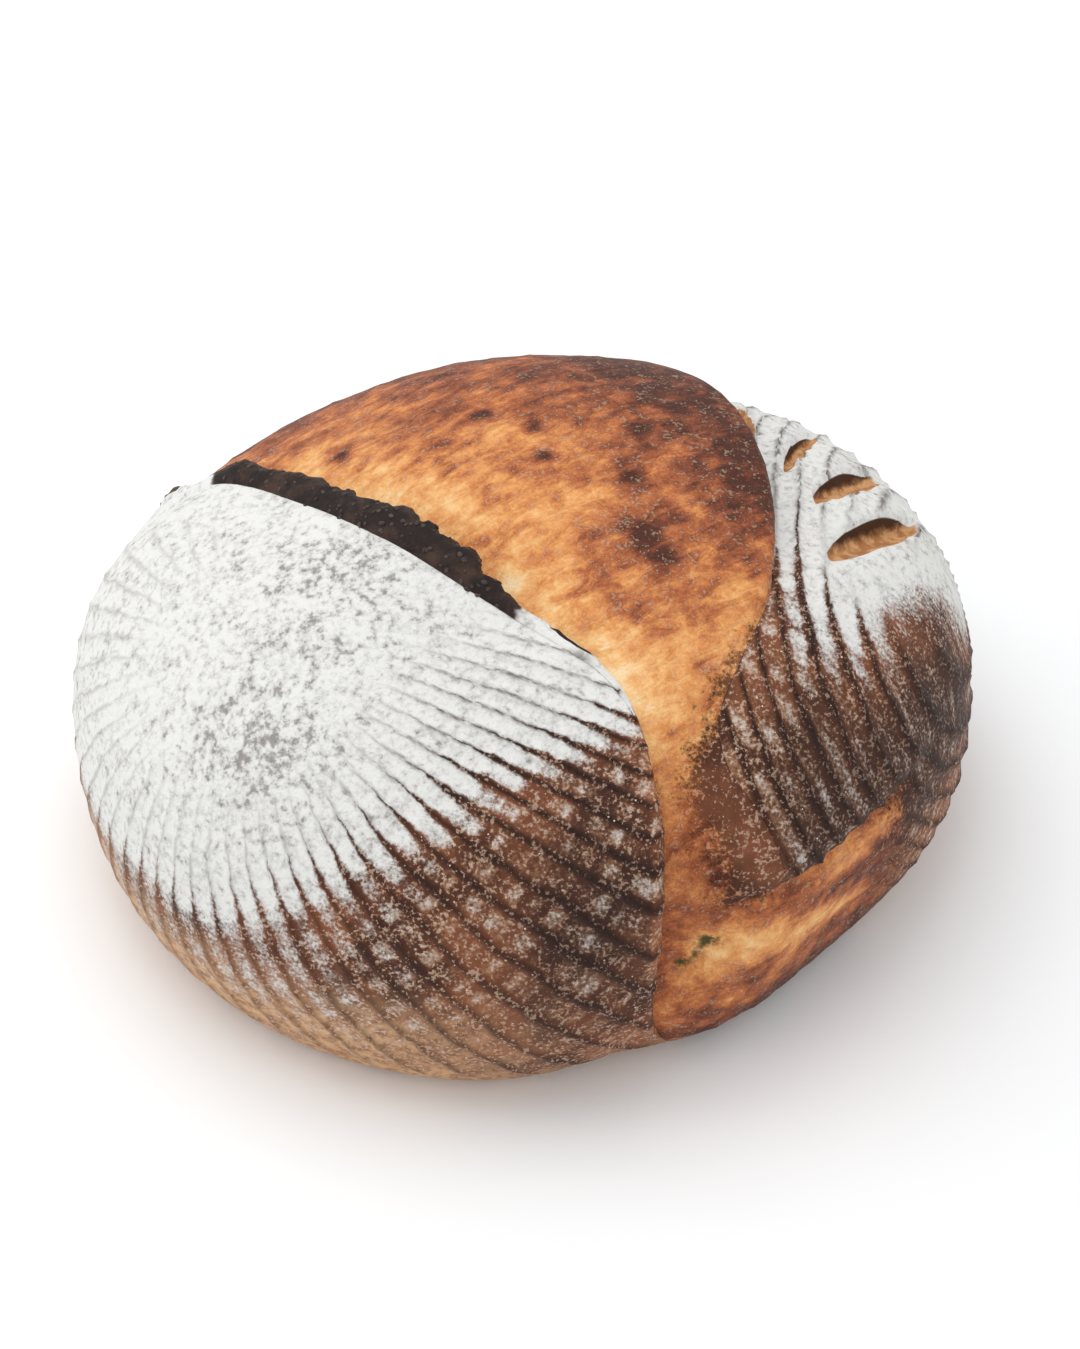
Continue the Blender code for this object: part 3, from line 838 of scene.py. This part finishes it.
class CrustFinish(Finish):
    """The crust's finish: the noises and rib marks that its layers share, then each layer."""

    def __init__(self, tree):
        super().__init__(tree)
        self.depth = self.mark("rib_depth")
        self.coarse = self.noise(self.place, 45.0, 3.0, 0.55)
        self.patch = self.noise(self.place, 110.0, 4.0, 0.65)
        self.medium = self.noise(self.place, 260.0, 3.0, 0.6)
        self.fine = self.noise(self.place, 950.0, 2.0, 0.6)
        self.back, self.bead = self.rib_pattern(self.place)
        self.groove = self.times(self.between(self.back, 0.86, 0.20), self.depth)
        drawn = self.joined(*[self.times(self.dot(self.place, way), scale) for way, scale in TEAR_WAYS])
        self.streak = self.noise(drawn, 1.0, 5.0, 0.68, 0.7)

    def with_noise(self, value, patch=0.0, coarse=0.0, medium=0.0, fine=0.0):
        """A value roughened by the shared noises, each by its own amount."""
        for noise, amount in ((self.patch, patch), (self.coarse, coarse), (self.medium, medium),
                              (self.fine, fine)):
            if amount:
                value = self.plus(value, self.centred(noise, amount))
        return value

    def skin_paint(self):
        """Skin under the flour: purple-brown, darker with painted shade on the lobes' turned-away
        sides, tan toward the foot on the left, pink on the ribs.
        """
        brown_and_shade = self.mark("brown_and_shade")
        dark = self.blend(self.between(self.coarse, 0.35, 0.65), SKIN, SKIN_DEEP)
        # Painted shade: near-black brown where the lobes' sides turn from the light.
        dark = self.blend(self.times(brown_and_shade, 0.85), dark, SKIN_BROWN_AND_SHADE)
        warm = self.blend(self.between(self.medium, 0.35, 0.65), TAN, TAN_DEEP)
        colour = self.blend(self.mark("tan"), dark, warm)
        crest = self.times(self.between(self.back, 0.70, 0.98), self.depth)
        pink = self.times(crest, self.between(self.with_noise(self.bead, fine=0.8), 0.35, 0.75))
        # Painted shade also dims the pink rib backs there.
        lit = self.less(0.74, self.times(brown_and_shade, 0.48))
        colour = self.blend(self.times(pink, lit), colour, RIB_BACK)
        colour = self.blend(self.times(self.groove, 0.85), colour, RIB_GROOVE)
        dapple = self.between(self.with_noise(self.medium, fine=0.9), 0.48, 0.72)
        dapple = self.times(dapple, self.less(0.32, self.times(brown_and_shade, 0.24)))
        colour = self.blend(dapple, colour, DAPPLE)
        freckle = self.between(self.with_noise(self.fine, medium=0.5), 0.56, 0.66)
        freckle = self.times(freckle, self.less(0.55, self.times(brown_and_shade, 0.30)))
        return self.blend(freckle, colour, FRECKLE)

    def bare_paint(self):
        """Bare crust: cream to dark red-brown with how far it baked, torn in streaks, with painted
        shadow in its open pores.
        """
        baked = self.plus(self.mark("bake"), self.centred(self.streak, 0.80))
        baked = self.with_noise(baked, patch=0.90, coarse=0.60, medium=0.35, fine=0.35)
        baked = self.plus(baked, self.times(self.mark("scorch"), 0.55))
        colour = self.ramp(baked, BAKED)
        glint = self.between(self.with_noise(self.fine, medium=0.6), 0.58, 0.68)
        colour = self.blend(self.times(glint, 0.24), colour, GLINT)
        # Painted shadow: the open pores go dark olive-brown.
        hole = self.between(self.with_noise(self.mark("pore"), medium=1.2, fine=0.8), 0.25, 0.95)
        return self.blend(hole, colour, PORE_SHADOW)

    def flour_share(self, bare, burnt):
        """How much flour hides the crust: thick on the backs of the ribs, gone in the grooves."""
        specks = self.times(self.mark("worn"), self.between(self.medium, 0.52, 0.66))
        on_backs = self.times(self.less(self.back, 0.74), 1.15)
        raised = self.times(self.depth, self.plus(self.centred(self.bead, 0.95), on_backs))
        laid = self.mark("flour")
        laid = self.plus(self.times(laid, 1.25), self.times(self.math("POWER", laid, 4.0), 0.40))
        cover = self.with_noise(self.plus(laid, raised), patch=0.55, fine=0.75)
        cover = self.between(self.plus(cover, self.times(specks, -0.40)), 0.42, 0.92)
        return self.times(cover, self.less(1.0, bare), self.less(1.0, burnt))

    def flour_paint(self):
        """White where thick, grey in thin patches and in dashes along the grooves."""
        worn = self.mark("worn")
        mottle = self.noise(self.place, 420.0, 3.0, 0.65)
        thin = self.plus(self.with_noise(mottle, patch=0.5), self.times(worn, 0.12))
        colour = self.blend(self.between(thin, 0.42, 0.80), FLOUR_THICK, FLOUR_THIN)
        speck = self.plus(self.with_noise(mottle, patch=0.4), self.times(worn, 0.17))
        speck = self.between(speck, 0.62, 0.80)
        colour = self.blend(self.times(speck, 0.60), colour, FLOUR_SPECK)
        dash = self.between(self.plus(self.bead, self.centred(mottle, 0.6)), 0.70, 0.36)
        return self.blend(self.times(self.groove, dash, 0.85), colour, FLOUR_GROOVE)

    def crumb_paint(self):
        """Inside of the leaf cuts, shaded under the overhanging side."""
        crumb = self.blend(self.between(self.medium, 0.38, 0.62), CRUMB, CRUMB_DEEP)
        shade = self.between(self.with_noise(self.mark("cut_side"), medium=0.5), 0.10, 0.65)
        return self.blend(shade, crumb, CRUMB_SHADE)


def new_finish(name, kind=Finish):
    material = bpy.data.materials.new(name)
    material.use_nodes = True
    shader = material.node_tree.nodes["Principled BSDF"]
    return material, kind(material.node_tree), shader


def crust_finish():
    material, recipe, shader = new_finish("crust", CrustFinish)
    bare = recipe.between(recipe.with_noise(recipe.mark("bare"), medium=0.8, fine=0.6), 0.36, 0.64)
    burnt = recipe.between(recipe.with_noise(recipe.mark("char"), medium=0.35), 0.30, 0.46)
    cover = recipe.flour_share(bare, burnt)
    colour = recipe.blend(bare, recipe.skin_paint(), recipe.bare_paint())
    colour = recipe.blend(recipe.times(cover, 0.97), colour, recipe.flour_paint())
    charred = recipe.blend(recipe.between(recipe.patch, 0.42, 0.66), CHAR, CHAR_BROWN)
    colour = recipe.blend(burnt, colour, charred)
    opened = recipe.between(recipe.mark("cut"), 0.0, 0.10)
    recipe.feed(shader.inputs["Base Color"], recipe.blend(opened, colour, recipe.crumb_paint()))
    recipe.feed(shader.inputs["Roughness"], recipe.between(cover, 0.0, 1.0, 0.62, 0.95))
    shader.inputs["Specular IOR Level"].default_value = 0.18
    lumps = recipe.plus(
        recipe.times(recipe.medium, 0.55), recipe.times(recipe.fine, 0.30),
        recipe.times(recipe.streak, bare), recipe.times(recipe.back, recipe.depth, 0.40),
        recipe.times(recipe.bead, recipe.depth, 0.35), recipe.times(cover, 0.25))
    bump = recipe.node("ShaderNodeBump", {"Height": lumps, "Strength": 0.9, "Distance": 0.0012})
    recipe.feed(shader.inputs["Normal"], bump.outputs[0])
    return material


def lump_finish(name, paints, roughness, scale, detail, rough, low):
    """Finish of strewn lumps: two paints in patches of a noise."""
    material, recipe, shader = new_finish(name)
    shade = recipe.between(recipe.noise(recipe.place, scale, detail, rough), low, 0.65)
    recipe.feed(shader.inputs["Base Color"], recipe.blend(shade, *paints))
    shader.inputs["Roughness"].default_value = roughness
    return material


# ---------------------------------------------------------------- pieces


class Growth(Recipe):
    """A geometry recipe with named sizes."""

    def __init__(self, name, sizes):
        tree = bpy.data.node_groups.new(name, "GeometryNodeTree")
        super().__init__(tree)
        tree.is_modifier = True
        tree.interface.new_socket("Geometry", in_out="INPUT", socket_type="NodeSocketGeometry")
        tree.interface.new_socket("Geometry", in_out="OUTPUT", socket_type="NodeSocketGeometry")
        for label, value in sizes.items():
            kind = "NodeSocketInt" if isinstance(value, int) else "NodeSocketFloat"
            socket = tree.interface.new_socket(label, in_out="INPUT", socket_type=kind)
            socket.default_value = value
        self.sizes = sizes
        self.given = tree.nodes.new("NodeGroupInput").outputs
        self.result = tree.nodes.new("NodeGroupOutput").inputs[0]

    def mark(self, name):
        made = self.node("GeometryNodeInputNamedAttribute", {"Name": name}, data_type="FLOAT")
        return made.outputs["Attribute"]

    def random(self, seed, least, most):
        made = self.node("FunctionNodeRandomValue", {"Seed": seed}, data_type="FLOAT")
        self.feed(made.inputs[2], least)
        self.feed(made.inputs[3], most)
        return made.outputs[1]

    def end(self, geometry, material):
        """Make instances real, paint the result and hand it out."""
        real = self.node("GeometryNodeRealizeInstances", {0: geometry})
        painted = self.node("GeometryNodeSetMaterial", {
            "Geometry": real.outputs[0], "Material": material})
        self.feed(self.result, painted.outputs[0])

    def on(self, thing, name):
        """Run the recipe on an object and keep the result as a plain mesh."""
        modifier = thing.modifiers.new(name, "NODES")
        modifier.node_group = self.tree
        for item in self.tree.interface.items_tree:
            if item.in_out == "INPUT" and item.name in self.sizes:
                modifier[item.identifier] = self.sizes[item.name]
        bpy.context.view_layer.update()
        shown = thing.evaluated_get(bpy.context.evaluated_depsgraph_get())
        mesh = bpy.data.meshes.new_from_object(shown)
        mesh.name = name
        thing.modifiers.remove(modifier)
        return mesh


def relief_growth(material):
    """Ribs pressed in by the basket, and the roughness of skin, tears and char."""
    growth = Growth("crust_relief", {
        "Rib Height": RIB_HEIGHT, "Torn Height": 0.0016, "Skin Height": 0.0005, "Char Height": 0.0018})
    place = growth.node("GeometryNodeInputPosition").outputs[0]
    normal = growth.node("GeometryNodeInputNormal").outputs[0]

    def rough(noise, top, height, mark=None):
        amount = growth.given[height]
        if mark:
            amount = growth.times(growth.mark(mark), amount)
        return growth.times(growth.less(noise, top), amount)

    back, bead = growth.rib_pattern(place)
    beaded = growth.times(growth.less(bead, 1.0), 0.45)
    sunk = growth.times(growth.plus(growth.less(back, 1.0), beaded), growth.mark("rib_depth"))
    ribs = growth.times(sunk, growth.given["Rib Height"])
    drawn = growth.joined(growth.times(growth.mark("across"), 70.0),
                          growth.times(growth.mark("slash_along"), 190.0))
    torn = rough(growth.noise(drawn, 1.0, 4.0, 0.6, 0.4), 0.85, "Torn Height", "bare")
    skin_rough = rough(growth.noise(place, 160.0, 3.0, 0.6), 0.8, "Skin Height")
    burnt = rough(growth.noise(place, 320.0, 2.0, 0.6), 0.75, "Char Height", "char")
    total = growth.plus(growth.plus(ribs, torn), growth.plus(skin_rough, burnt))
    height = growth.node("ShaderNodeSeparateXYZ", {0: place}).outputs[2]
    total = growth.times(total, growth.between(height, 0.0005, 0.006))
    offset = growth.node("ShaderNodeVectorMath", {0: normal, "Scale": total}, operation="SCALE")
    moved = growth.node("GeometryNodeSetPosition", {
        "Geometry": growth.given["Geometry"], "Offset": offset.outputs[0]})
    growth.end(moved.outputs[0], material)
    return growth


def scatter_growth(name, mark, material, subdivisions, sizes):
    """Small lumps strewn over the crust where a mark says so."""
    growth = Growth(name, sizes)
    given = growth.given
    density = growth.times(growth.mark(mark), given["Density"])
    strewn = growth.node("GeometryNodeDistributePointsOnFaces", {
        "Mesh": given["Geometry"], "Density": density, "Seed": given["Seed"]})
    lump = growth.node("GeometryNodeMeshIcoSphere", {"Radius": 1.0, "Subdivisions": subdivisions})
    width = growth.random(given["Seed"], given["Least"], given["Most"])
    length = growth.times(width, growth.random(5, 0.7, 1.4))
    scale = growth.joined(width, length, growth.times(width, given["Flatness"]))
    placed = growth.node("GeometryNodeInstanceOnPoints", {
        "Points": strewn.outputs["Points"], "Instance": lump.outputs["Mesh"],
        "Rotation": strewn.outputs["Rotation"], "Scale": scale})
    spin = growth.node("ShaderNodeCombineXYZ", {2: growth.random(9, 0.0, 6.283)}).outputs[0]
    turned = growth.node("GeometryNodeRotateInstances", {
        "Instances": placed.outputs[0], "Rotation": spin})
    growth.end(turned.outputs[0], material)
    return growth


def show(name, mesh):
    thing = bpy.data.objects.new(name, mesh)
    bpy.context.scene.collection.objects.link(thing)
    return thing


def make_loaf():
    blank = show("crust_blank", crust_mesh())
    baked = relief_growth(crust_finish()).on(blank, "crust_baked")
    bpy.data.objects.remove(blank, do_unlink=True)
    return show("loaf_crust", baked)


def mark_scatter(mesh):
    """Where loose flour and charred crumbs lie."""
    def read(name):
        value = np.zeros(len(mesh.vertices), dtype=np.float32)
        mesh.attributes[name].data.foreach_get("value", value)
        return value
    spots = np.zeros(len(mesh.vertices) * 3, dtype=np.float32)
    mesh.vertices.foreach_get("co", spots)
    z = spots.reshape(-1, 3)[:, 2]
    dusty = (1.0 - read("flour")) * (1.0 - smooth(read("bare"), 0.0, 0.8)) * (1.0 - read("char"))
    dusty = dusty * (1.0 - 0.45 * read("brown_and_shade")) * smooth(z, 0.008, 0.030)
    dusty = dusty * (1.0 - smooth(read("cut"), -0.2, 0.0))
    store_mark(mesh, "dusty", dusty)
    store_mark(mesh, "burnt_rim", smooth(read("char"), 0.5, 0.9))


def strew_flour(loaf):
    finish = lump_finish("loose_flour", LOOSE_FLOUR, 0.95, 300.0, 2.0, 0.5, 0.35)
    growth = scatter_growth("flour_grains", "dusty", finish, 1, {
        "Density": 10000.0, "Least": 0.00014, "Most": 0.00032, "Flatness": 0.6, "Seed": 3})
    return show("flour_grains", growth.on(loaf, "flour_grains"))


def strew_char(loaf):
    finish = lump_finish("charred_crumb", LOOSE_CHAR, 0.6, 500.0, 3.0, 0.6, 0.4)
    growth = scatter_growth("charred_crumbs", "burnt_rim", finish, 2, {
        "Density": 90000.0, "Least": 0.0003, "Most": 0.0008, "Flatness": 0.6, "Seed": 4})
    return show("charred_crumbs", growth.on(loaf, "charred_crumbs"))


# ---------------------------------------------------------------- floor, light and camera

FLOOR_HALF = 6.0
STUDIO_LIGHT = 0.82
LAMPS = (("overhead", (-0.25, 0.10, 1.3), 0.9, 5.2), ("side", (-1.0, 0.1, 0.7), 0.6, 1.8))
LAMP_AIM = (0.0, 0.0, 0.05)
VIEW_AIM = np.array([0.0046, 0.0029, 0.0588])
VIEW_AWAY = 1.0706
VIEW_TILT = math.radians(45.0)


def set_stage():
    material, _, shader = new_finish("floor")
    shader.inputs["Base Color"].default_value = FLOOR_WHITE
    shader.inputs["Roughness"].default_value = 0.9
    mesh = bpy.data.meshes.new("floor")
    corners = [(x * FLOOR_HALF, y * FLOOR_HALF, 0.0) for x, y in ((-1, -1), (1, -1), (1, 1), (-1, 1))]
    mesh.from_pydata(corners, [], [(0, 1, 2, 3)])
    floor = show("floor", mesh)
    floor.data.materials.append(material)


def add_light(name, place, size, power):
    light = bpy.data.lights.new(name, "AREA")
    light.size = size
    light.energy = power
    lamp = show(name, light)
    lamp.location = place
    lamp.rotation_mode = "QUATERNION"
    way = np.array(LAMP_AIM) - np.array(place)
    lamp.rotation_quaternion = Vector(way).to_track_quat("-Z", "Y")


def light_and_camera():
    world = bpy.data.worlds.new("studio")
    world.use_nodes = True
    sky = world.node_tree.nodes["Background"].inputs
    sky[0].default_value = (1.0, 1.0, 1.0, 1.0)
    sky[1].default_value = STUDIO_LIGHT
    scene = bpy.context.scene
    scene.world = world
    for lamp in LAMPS:
        add_light(*lamp)
    camera = bpy.data.cameras.new("view")
    camera.lens = 100.0
    camera.sensor_width = 36.0
    camera.clip_start = 0.01
    camera.clip_end = 20.0
    holder = show("view", camera)
    holder.location = VIEW_AIM + VIEW_AWAY * np.array([0.0, -math.cos(VIEW_TILT), math.sin(VIEW_TILT)])
    holder.rotation_euler = (math.pi / 2.0 - VIEW_TILT, 0.0, 0.0)
    scene.camera = holder
    scene.view_settings.view_transform = "Standard"


def main():
    loaf = make_loaf()
    mark_scatter(loaf.data)
    for piece in (loaf, strew_flour(loaf), strew_char(loaf)):
        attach(piece, "root")
    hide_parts("loaf")
    set_stage()
    light_and_camera()
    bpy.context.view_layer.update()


main()
